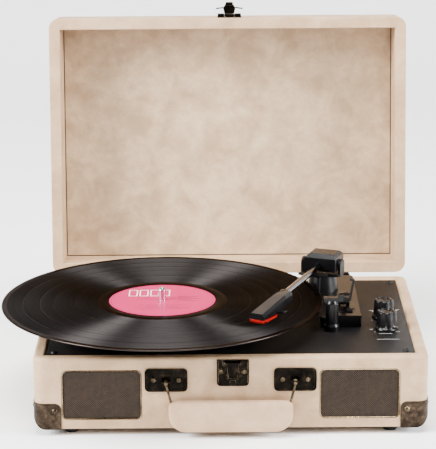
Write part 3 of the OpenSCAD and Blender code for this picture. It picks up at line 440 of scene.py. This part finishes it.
def round_edges(bm, width, segments=2, angle=28, pick=lambda edge, mid: True, tint=-1):
    """Rounds the edges sharper than angle that pick accepts. tint gives the new faces a material number."""
    edges = [
        e for e in bm.edges
        if len(e.link_faces) == 2 and e.calc_face_angle(0) > math.radians(angle)
        and pick(e, (e.verts[0].co + e.verts[1].co) / 2)
    ]
    bmesh.ops.bevel(bm, geom=edges, offset=width, segments=segments, profile=0.5, affect="EDGES",
                    clamp_overlap=True, material=tint, loop_slide=True)


def softened(node, width, material, wear_and_sheen=None, segments=2, angle=28):
    """A CAD node's own shape with its edges eased, and worn bright along them if wear_and_sheen is a
    material; on the headshell that second slot holds a painted sheen.
    """
    bm = cad_copy(node)
    for face in bm.faces:
        face.material_index = 0
    round_edges(bm, width, segments, angle, tint=1 if wear_and_sheen else -1)
    materials = [material, wear_and_sheen] if wear_and_sheen else [material]
    return finished(bm, node + "_look", body_of_node(node), materials, [node])


def bridge(bm, rings, closed=True, tint=0):
    """Quads between rings of vertices that have the same count."""
    faces = []
    for lower, upper in zip(rings, rings[1:]):
        count = len(lower)
        for k in range(count if closed else count - 1):
            n = (k + 1) % count
            faces.append(bm.faces.new((lower[k], lower[n], upper[n], upper[k])))
    for face in faces:
        face.material_index = tint
    return faces


def ring(bm, points):
    return [bm.verts.new(p) for p in points]


def cap(bm, verts, tint=0):
    face = bm.faces.new(verts)
    face.material_index = tint
    return face


def lathe(bm, profile, centre, steps=96, tints=None, transform=Matrix.Identity(4)):
    """Turns (radius, height) points round a vertical line through centre. Radius 0 closes an end."""
    centre = Vector(centre)
    last = None
    for k, (radius, height) in enumerate(profile):
        if radius < 1e-7:
            current = [bm.verts.new(transform @ (centre + Vector((0, 0, height))))]
        else:
            current = ring(bm, [
                transform @ (centre + Vector((radius * math.cos(2 * math.pi * i / steps),
                                              radius * math.sin(2 * math.pi * i / steps), height)))
                for i in range(steps)])
        if last is not None:
            tint = tints[k - 1] if tints else 0
            for i in range(steps):
                n = (i + 1) % steps
                corners = [last[i % len(last)], last[n % len(last)], current[n % len(current)],
                           current[i % len(current)]]
                unique = list(dict.fromkeys(corners))
                if len(unique) > 2:
                    bm.faces.new(unique).material_index = tint
        last = current


def slab(bm, low, high, transform=Matrix.Identity(4), ease=0.0, tint=0):
    """A block between two corners, with its edges rounded by ease."""
    made = bmesh.ops.create_cube(bm, size=1.0)
    size = Vector(high) - Vector(low)
    where = transform @ Matrix.Translation((Vector(low) + Vector(high)) / 2) @ Matrix.Diagonal((*size, 1))
    bmesh.ops.transform(bm, matrix=where, verts=made["verts"])
    edges = list({e for v in made["verts"] for e in v.link_edges})
    faces = {f for v in made["verts"] for f in v.link_faces}
    for face in faces:
        face.material_index = tint
    if ease:
        bmesh.ops.bevel(bm, geom=edges, offset=ease, segments=2, profile=0.5, affect="EDGES",
                        clamp_overlap=True)


def rounded_outline(width, height, top, low, steps=8):
    """Points round a rectangle centred on the origin, with its top and lower corner radii."""
    points = []
    for sx, sy, radius, start in ((1, -1, low, -90), (1, 1, top, 0), (-1, 1, top, 90), (-1, -1, low, 180)):
        cx, cy = sx * (width / 2 - radius), sy * (height / 2 - radius)
        for k in range(steps + 1):
            a = math.radians(start + 90 * k / steps)
            points.append((cx + radius * math.cos(a), cy + radius * math.sin(a)))
    return points


def ease_in(t, power=2.0):
    """0 to 1 along a superellipse quarter."""
    return (1 - (1 - min(max(t, 0.0), 1.0)) ** power) ** (1 / power)


# ------------------------------------------------------------------ case and lid

def wrapped(node, material, rim):
    """A wrapped wooden shell: a generous radius on its open rim, small ones elsewhere."""
    bm = cad_copy(node)
    round_edges(bm, RIM_ROUND, 4, 40, pick=rim)
    round_edges(bm, EDGE_ROUND, 2, 40, pick=lambda e, mid: not rim(e, mid))
    return finished(bm, node + "_look", body_of_node(node), [material], [node], sharp=50)


def case_rim(edge, mid):
    return all(abs(v.co.z - TOP_Z) < FACE_SLACK for v in edge.verts)


def lid_rim(edge, mid):
    closed = [OPENED.inverted() @ v.co for v in edge.verts]
    low = TOP_Z + LID_GAP
    high = low + LID_DEPTH
    if all(abs(c.z - low) < FACE_SLACK for c in closed):
        return True
    on_top = all(abs(c.z - high) < FACE_SLACK for c in closed)
    return on_top and all(on_outside(c) or corner(c) for c in closed)


def on_outside(point):
    """Whether a point lies on one of the case's flat outer sides."""
    return abs(point.x - CASE_X) > HALF_W - 0.1 * MM or abs(point.y - CASE_Y) > HALF_D - 0.1 * MM


def corner(point):
    """Whether a point lies on one of the case's rounded upright corners."""
    return abs(point.x - CASE_X) > HALF_W - PLAN_CORNER and abs(point.y - CASE_Y) > HALF_D - PLAN_CORNER


wrapped("case_walls", M["leatherette"], case_rim)
wrapped("lid_walls", M["leatherette"], lid_rim)
softened("lid_board", 0.4 * MM, M["lid_lining"])


def lining_crease_shadow():
    """A painted shadow: thin dark strips round the lid's lining, in the crease where it meets the walls."""
    board = frame["nodes"]["lid_board"]
    closed = [OPENED.inverted() @ v.co for v in board.data.vertices]
    low = Vector([min(c[k] for c in closed) for k in range(3)])
    high = Vector([max(c[k] for c in closed) for k in range(3)])
    bm = bmesh.new()
    wide, deep = 0.9 * MM, 0.5 * MM
    for x0, y0, x1, y1 in (
            (low.x, low.y, low.x + wide, high.y), (high.x - wide, low.y, high.x, high.y),
            (low.x + wide, low.y, high.x - wide, low.y + wide),
            (low.x + wide, high.y - wide, high.x - wide, high.y)):
        slab(bm, (x0, y0, low.z - deep), (x1, y1, low.z), OPENED, ease=0.15 * MM)
    # The strips carry the painted crease shadow.
    return finished(bm, "lid_lining_crease_shadow", "lid", [M["painted_crease_shade"]], weighted=False)


lining_crease_shadow()
softened("bottom_board", 0.4 * MM, M["matte_black"])
softened("deck_board", 0.3 * MM, M["deck_black"])
softened("deck_blocks", 0.5 * MM, M["fibreboard"])


# ------------------------------------------------------------------ hardware

for guard in ("corner_guard_front_left", "corner_guard_front_right", "corner_guards_back"):
    softened(guard, 0.22 * MM, M["guard_bronze"], M["antique_bronze"])
for plate in ("handle_plate_left", "handle_plate_right", "catch_plate", "catch_tongue", "hasp_plate",
              "lid_hasp"):
    softened(plate, 0.3 * MM, M["antique_bronze"], M["rubbed_bronze"])
for leaf in ("hinge_base_leaves", "hinge_lid_leaves"):
    softened(leaf, 0.2 * MM, M["antique_bronze"], M["rubbed_bronze"])
for small in ("guard_nails", "front_screws", "hinge_screws", "lid_screws", "hinge_pins", "handle_links"):
    softened(small, 0.12 * MM, M["bright_bronze"])
for screws in ("chassis_screws", "rear_jacks", "potentiometers", "motor", "speaker_left", "speaker_right"):
    softened(screws, 0.15 * MM, M["steel"])
softened("deck_screws", 0.12 * MM, M["matte_black"])
softened("rubber_feet", 0.4 * MM, M["rubber"])
softened("jack_plate", 0.25 * MM, M["matte_black"])
softened("amplifier_board", 0.1 * MM, M["circuit_green"])
softened("speaker_cones", 0.05 * MM, M["speaker_paper"])
softened("drive_belt", 0.1 * MM, M["rubber"])
softened("motor_pulley", 0.1 * MM, M["brass"])
softened("adapter_45", 0.3 * MM, M["matte_black"])


def grille(node):
    """A pressed frame round a sheet of fine diamond mesh, with dark cloth behind it."""
    low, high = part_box(node)
    centre = (low + high) / 2
    width, height = high.x - low.x, high.z - low.z
    bm = bmesh.new()
    face_y = low.y

    def outline(inset, depth):
        radius = 4.4 * MM - inset * 0.6
        shape = rounded_outline(width - 2 * inset, height - 2 * inset, radius, radius)
        return ring(bm, [(centre.x + x, face_y + depth, centre.z + z) for x, z in shape])

    bead = [(0.0, 1.0), (0.0, 0.0), (0.15, -0.45), (0.55, -0.7), (0.95, -0.45), (1.1, 0.0), (1.15, 0.75)]
    bridge(bm, [outline(inset * MM, depth * MM) for inset, depth in bead])
    cloth = outline(1.15 * MM, 1.1 * MM)
    cap(bm, cloth, tint=2)
    pitch_x, pitch_z = 2.1 * MM, 1.8 * MM
    inner_w, inner_h = width / 2 - 1.1 * MM, height / 2 - 1.1 * MM
    columns, rows = int(inner_w * 2 / pitch_x), int(inner_h * 2 / pitch_z)
    step_x, step_z = inner_w * 2 / columns, inner_h * 2 / rows
    front, back = face_y + 0.42 * MM, face_y + 0.85 * MM

    def inside(x, z):
        """Keeps mesh corners within the frame's rounded corners."""
        over_x, over_z = abs(x) - (inner_w - 3.4 * MM), abs(z) - (inner_h - 3.4 * MM)
        return over_x < 0 or over_z < 0 or math.hypot(over_x, over_z) < 3.6 * MM

    knots = {}

    def knot(i, j, y):
        """A lattice crossing. Crossings where i + j is odd don't exist."""
        key = (i, j, y)
        if key not in knots:
            x, z = -inner_w + i * step_x / 2, -inner_h + j * step_z / 2
            knots[key] = bm.verts.new((centre.x + x, y, centre.z + z))
        return knots[key]

    strand = 0.34
    for i in range(1, 2 * columns):
        for j in range(1, 2 * rows):
            x, z = -inner_w + i * step_x / 2, -inner_h + j * step_z / 2
            if (i + j) % 2 == 0 or not inside(x, z):
                continue
            around = [(1, 0), (0, 1), (-1, 0), (0, -1)]
            outer = [knot(i + a, j + b, front) for a, b in around]
            hole = ring(bm, [(centre.x + x + a * step_x / 2 * (1 - strand), front + 0.06 * MM,
                              centre.z + z + b * step_z / 2 * (1 - strand)) for a, b in around])
            deep = ring(bm, [(centre.x + x + a * step_x / 2 * (0.9 - strand), back,
                              centre.z + z + b * step_z / 2 * (0.9 - strand)) for a, b in around])
            bridge(bm, [outer, hole, deep], tint=1)
    return finished(bm, node + "_look", body_of_node(node),
                    [M["rubbed_bronze"], M["grille_mesh"], M["grille_cloth"]], [node],
                    weighted=False)


grille("grille_left")
grille("grille_right")


def grip():
    """The padded grip: a pillowed pad inside a firm rounded outline, with a turned seam round its middle."""
    low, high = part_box("handle_grip")
    centre = (low + high) / 2
    width, height, thick = high.x - low.x, high.z - low.z, high.y - low.y
    bm = bmesh.new()

    def outline(inset, y):
        left = height - 2 * inset
        top = min(max(6 * MM - inset, 1.2 * MM), 0.4 * left)
        foot = min(max(min(18 * MM, height - 6.5 * MM) - inset, 1.6 * MM), 0.56 * left)
        shape = rounded_outline(width - 2 * inset, left, top, foot, steps=14)
        return ring(bm, [(centre.x + x, centre.y + y, centre.z + z) for x, z in shape])

    insets = [0.0, 0.12, 0.3, 0.6, 1.1, 1.8, 2.8, 4.2, 6.0, 8.2, 10.6, 12.6]
    half = [(d * MM, thick / 2 * (0.14 + 0.86 * ease_in(d / 10.5, 2.6))) for d in insets]
    front = [outline(d, -y) for d, y in half]
    back = [outline(d, y) for d, y in half]
    seam = [outline(0.35 * MM, -thick * 0.03), outline(0.35 * MM, thick * 0.03)]
    bridge(bm, front[::-1] + seam + back)
    cap(bm, front[-1])
    cap(bm, back[-1])
    piece = finished(bm, "handle_grip_look", "handle", [M["grip_wrap"]], ["handle_grip"],
                     sharp=80,
                     weighted=False)


grip()


# ------------------------------------------------------------------ platter and record

softened("platter", 0.5 * MM, M["grey_plastic"])
softened("platter_mat", 0.3 * MM, M["rubber"])
softened("spindle", 0.2 * MM, M["chrome"])


def record():
    """The pressed disc: rim bead, lead-in, bands with gaps between tracks, run-out land and label land."""
    low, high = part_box("record")
    radius, thick = (high.x - low.x) / 2, high.z - low.z
    top = thick
    sunk = thick - 0.15 * MM
    gap = 0.10 * MM
    edge = [(radius - 0.7 * MM, 0), (radius - 0.15 * MM, 0.2 * MM), (radius, thick / 2),
            (radius - 0.15 * MM, top - 0.2 * MM), (radius - 0.7 * MM, top),
            (radius - 1.6 * MM, top - 0.02 * MM)]
    profile, tints = [(SPINDLE_HOLE, 0), *edge], [1] * len(edge)
    profile += [(radius - 4.2 * MM, top - 0.03 * MM), (radius - 5.2 * MM, sunk)]
    tints += [1, 1]
    tracks = [0.0, 0.17, 0.36, 0.51, 0.73, 1.0]
    outer, inner = radius - 6.2 * MM, 60 * MM
    for k, (a, b) in enumerate(zip(tracks, tracks[1:])):
        start, stop = outer + (inner - outer) * a, outer + (inner - outer) * b
        profile += [(start, sunk), (stop + 0.9 * MM, sunk), (stop + 0.65 * MM, sunk - gap / 2),
                    (stop + 0.25 * MM, sunk - gap / 2)]
        tints += [0, 0, 1, 1]
    profile += [(59.5 * MM, sunk), (58.4 * MM, top), (51.2 * MM, top), (50.9 * MM, top - 0.1 * MM),
                (50.2 * MM, top - 0.1 * MM), (50.0 * MM, top), (SPINDLE_HOLE + 0.1 * MM, top),
                (SPINDLE_HOLE, top - 0.1 * MM), (SPINDLE_HOLE, 0)]
    tints += [1, 1, 1, 1, 1, 1, 1, 1, 1]
    bm = bmesh.new()
    lathe(bm, profile, (0, 0, 0), 256, tints)
    bmesh.ops.remove_doubles(bm, verts=bm.verts, dist=1e-7)
    for face in bm.faces:
        face.smooth = True
    piece = finished(bm, "record_look", "turntable", [M["vinyl"], M["vinyl_land"]], ["record"],
                     sharp=60,
                     weighted=False)
    piece.location = (SPINDLE.x, SPINDLE.y, low.z)
    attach(piece, "turntable")


def label():
    """Paper label with a plain printed design: two rings, blank blocks and ruled lines, no lettering."""
    low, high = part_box("record_label")
    radius, z = (high.x - low.x) / 2, high.z
    bm = bmesh.new()
    lathe(bm, [(SPINDLE_HOLE, -0.1 * MM), (radius - 0.1 * MM, -0.1 * MM), (radius, -0.05 * MM),
               (radius - 0.1 * MM, 0),
               (16.2 * MM, 0), (15.8 * MM, -0.08 * MM), (15.2 * MM, -0.08 * MM), (14.8 * MM, 0),
               (SPINDLE_HOLE, 0),
               (SPINDLE_HOLE, -0.1 * MM)], (0, 0, 0), 160)
    bmesh.ops.remove_doubles(bm, verts=bm.verts, dist=1e-7)
    paper_disc = finished(bm, "record_label_look", "turntable", [M["label_pink"]],
                          ["record_label"])
    paper_disc.location = (SPINDLE.x, SPINDLE.y, z)
    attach(paper_disc, "turntable")
    bm = bmesh.new()
    ink = 0.03 * MM

    def bar(x, y, width, height, tint):
        slab(bm, ((x - width / 2) * MM, (y - height / 2) * MM, 0),
             ((x + width / 2) * MM, (y + height / 2) * MM, ink), tint=tint)

    lathe(bm, [(radius - 1.6 * MM, 0), (radius - 1.6 * MM, ink), (radius - 2.1 * MM, ink),
               (radius - 2.1 * MM, 0)],
          (0, 0, 0), 160, [1, 1, 1])
    for k in range(4):
        x = -28 + 10.2 * k
        for side in (-1, 1):
            bar(x + side * 3.7, 23, 1.0, 20, 0)
            bar(x, 23 + side * 9.6, 6.4, 0.9, 0)
    for k, width in enumerate((18, 14, 20, 12, 16)):
        bar(25 - (20 - width) / 2, 11 - 3.4 * k, width, 0.8, 1)
    for k, width in enumerate((44, 30, 50, 38)):
        bar(0, -16 - 4.2 * k, width, 0.8, 1)
    print_layer = finished(bm, "record_label_print", "turntable", [M["ink_pale"], M["ink_dark"]],
                           weighted=False)
    print_layer.location = (SPINDLE.x, SPINDLE.y, z)
    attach(print_layer, "turntable")


record()
label()


# ------------------------------------------------------------------ tonearm and controls

softened("arm_base", 0.5 * MM, M["black_plastic"])
softened("arm_rest", 0.35 * MM, M["black_plastic"])
softened("arm_clip", 0.25 * MM, M["matte_black"])
softened("arm_yoke", 0.5 * MM, M["matte_black"])
softened("arm_housing", 1.2 * MM, M["black_plastic"], segments=3)
softened("arm_tube", 0.1 * MM, M["tube_chrome"])
# Painted sheen: the second material goes to the headshell's upward faces, lighter where light falls on the
# black top.
shell = softened("headshell", 0.6 * MM, M["black_plastic"], M["grey_plastic"], segments=3)
for part in shell.data.polygons:
    part.material_index = 1 if part.normal.z > 0.75 and part.area > 40e-6 else 0
softened("cartridge", 0.3 * MM, M["matte_black"])
softened("stylus", 0.3 * MM, M["stylus_red"])
softened("cue_lever", 0.4 * MM, M["matte_black"])
softened("cue_platform", 0.3 * MM, M["matte_black"])
softened("speed_slider", 0.25 * MM, M["matte_black"])
softened("autostop_slider", 0.25 * MM, M["matte_black"])


def knob(node, body):
    """A six-lobed knob: flared skirt, fluted body and a dished top."""
    low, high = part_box(node)
    centre = Vector(((low.x + high.x) / 2, (low.y + high.y) / 2, low.z))
    tall = high.z - low.z
    steps = 144
    bm = bmesh.new()

    def lobed(radius, depth, height):
        points = []
        for k in range(steps):
            a = 2 * math.pi * k / steps
            wave = math.cos(6 * (a - math.radians(45)))
            r = radius - depth * (0.5 - 0.5 * wave) ** 1.5
            points.append(centre + Vector((r * math.cos(a), r * math.sin(a), height)))
        return ring(bm, points)

    rows = [
        (9.8, 0.0, 0.0), (10.9, 0.0, 0.0), (10.95, 0.0, 0.5), (10.7, 0.0, 1.6), (10.0, 0.2, 2.3),
        (9.7, 0.9, 2.9),
        (9.6, 1.5, 4.2), (9.35, 1.8, 9.0), (9.1, 1.9, tall / MM - 1.8), (8.9, 1.9, tall / MM - 0.7),
        (8.4, 1.8, tall / MM - 0.12), (7.8, 1.6, tall / MM), (7.0, 1.2, tall / MM - 0.1),
        (6.2, 0.7, tall / MM - 0.9),
        (4.0, 0.2, tall / MM - 1.3), (1.5, 0.0, tall / MM - 1.4)]
    rings = [lobed(r * MM, d * MM, z * MM) for r, d, z in rows]
    bridge(bm, rings)
    cap(bm, rings[-1])
    cap(bm, rings[0][::-1])
    return finished(bm, node + "_look", body, M["black_plastic"], [node],
                    sharp=55, weighted=False)


knob("volume_knob", "volume")
knob("function_knob", "function")


def deck_marks():
    """Plain printed marks round the knobs: scale ticks and ruled lines, no lettering."""
    bm = bmesh.new()
    z = DECK_Z

    def bar(x, y, width, height, turn=0.0):
        where = Matrix.Translation((x, y, z)) @ Matrix.Rotation(turn, 4, "Z")
        slab(bm, (-width / 2 * MM, -height / 2 * MM, 0), (width / 2 * MM, height / 2 * MM, 0.06 * MM), where)

    back = middle("volume_knob")
    front = middle("function_knob")
    for side, dx, dy in ((-1, -10.5, 24), (1, 15.3, 25.8)):
        bar(back.x + dx * MM, back.y + dy * MM, 3.4, 0.8)
        bar(back.x + (dx - side * 1.6) * MM, back.y + (dy - 1.8) * MM, 0.8, 3.0)
    for node in (back, front):
        for k in (-2, 2, 5):
            a = math.radians(90 + 62 * k)
            bar(node.x + 13.6 * MM * math.cos(a), node.y + 13.6 * MM * math.sin(a), 1.3, 0.5, a)
    ruled = ((-14.1, 0.8, 3), (-14.1, -0.8, 2), (-1.7, -12.5, 12.7), (9.8, -6.7, 4), (-0.5, -29.7, 20.7))
    for dx, dy, width in ruled:
        bar(front.x + dx * MM, front.y + dy * MM, width, 0.7)
    return finished(bm, "deck_marks", "base", [M["print_white"]], weighted=False)


deck_marks()


# ------------------------------------------------------------------ stage, lights and camera

def stage():
    """A pale floor that curves up into a backdrop."""
    bm = bmesh.new()
    near, far, tall, bend, half = -3.0, 2.2, 3.4, 0.9, 4.0
    rows = [(near, 0.0)]
    rows += [(far - bend + bend * math.sin(math.radians(a)), bend - bend * math.cos(math.radians(a)))
             for a in range(0, 91, 6)]
    rows.append((far, tall))
    rings = [ring(bm, [(-half, y, z), (half, y, z)]) for y, z in rows]
    bridge(bm, rings, closed=False)
    for face in bm.faces:
        face.smooth = True
    mesh = bpy.data.meshes.new("floor")
    bm.to_mesh(mesh)
    bm.free()
    floor = bpy.data.objects.new("floor", mesh)
    bpy.context.scene.collection.objects.link(floor)
    s = Shade("floor_white", Roughness=0.9, Specular_IOR_Level=0.2)
    s.feed("Base Color", s.ramp(s.noise(0.4), (0.3, srgb(246, 246, 246)), (0.7, srgb(250, 250, 250))))
    mesh.materials.append(s.material)


def softbox(name, place, aim, size, power, tint=(1, 1, 1)):
    """A square area light at place, facing aim."""
    light = bpy.data.lights.new(name, "AREA")
    light.shape = "RECTANGLE"
    light.size, light.size_y = size
    light.energy = power
    light.color = tint
    holder = bpy.data.objects.new(name, light)
    bpy.context.scene.collection.objects.link(holder)
    holder.location = place
    holder.rotation_mode = "QUATERNION"
    holder.rotation_quaternion = (Vector(aim) - Vector(place)).to_track_quat("-Z", "Y")
    return holder


def camera():
    """Two metres in front and a little above, looking slightly down, as a product shot is taken."""
    lens = bpy.data.cameras.new("camera")
    lens.lens = 175.6
    lens.sensor_width = 36
    lens.clip_start, lens.clip_end = 0.1, 20
    holder = bpy.data.objects.new("camera", lens)
    bpy.context.scene.collection.objects.link(holder)
    place = Vector((CASE_X - 0.00775, CASE_Y - 1.99278, 0.6944))
    holder.matrix_world = (
        Matrix.Translation(place)
        @ Matrix.Rotation(math.radians(0.08), 4, "Z")
        @ Matrix.Rotation(math.radians(90 - 14.938), 4, "X")
        @ Matrix.Rotation(math.radians(-0.422), 4, "Z")
    )
    bpy.context.scene.camera = holder


stage()
softbox("left", (-2.1, -0.95, 1.35), (0, 0, 0.14), (1.0, 1.2), 225)
softbox("right", (2.2, -0.75, 1.0), (0, 0, 0.14), (1.0, 1.2), 150)
softbox("top", (0.0, -0.5, 2.2), (0, 0, 0.1), (1.2, 0.9), 95)
world = bpy.data.worlds.new("studio")
world.use_nodes = True
world.node_tree.nodes["Background"].inputs["Color"].default_value = (1, 1, 1, 1)
world.node_tree.nodes["Background"].inputs["Strength"].default_value = 0.35
bpy.context.scene.world = world
camera()
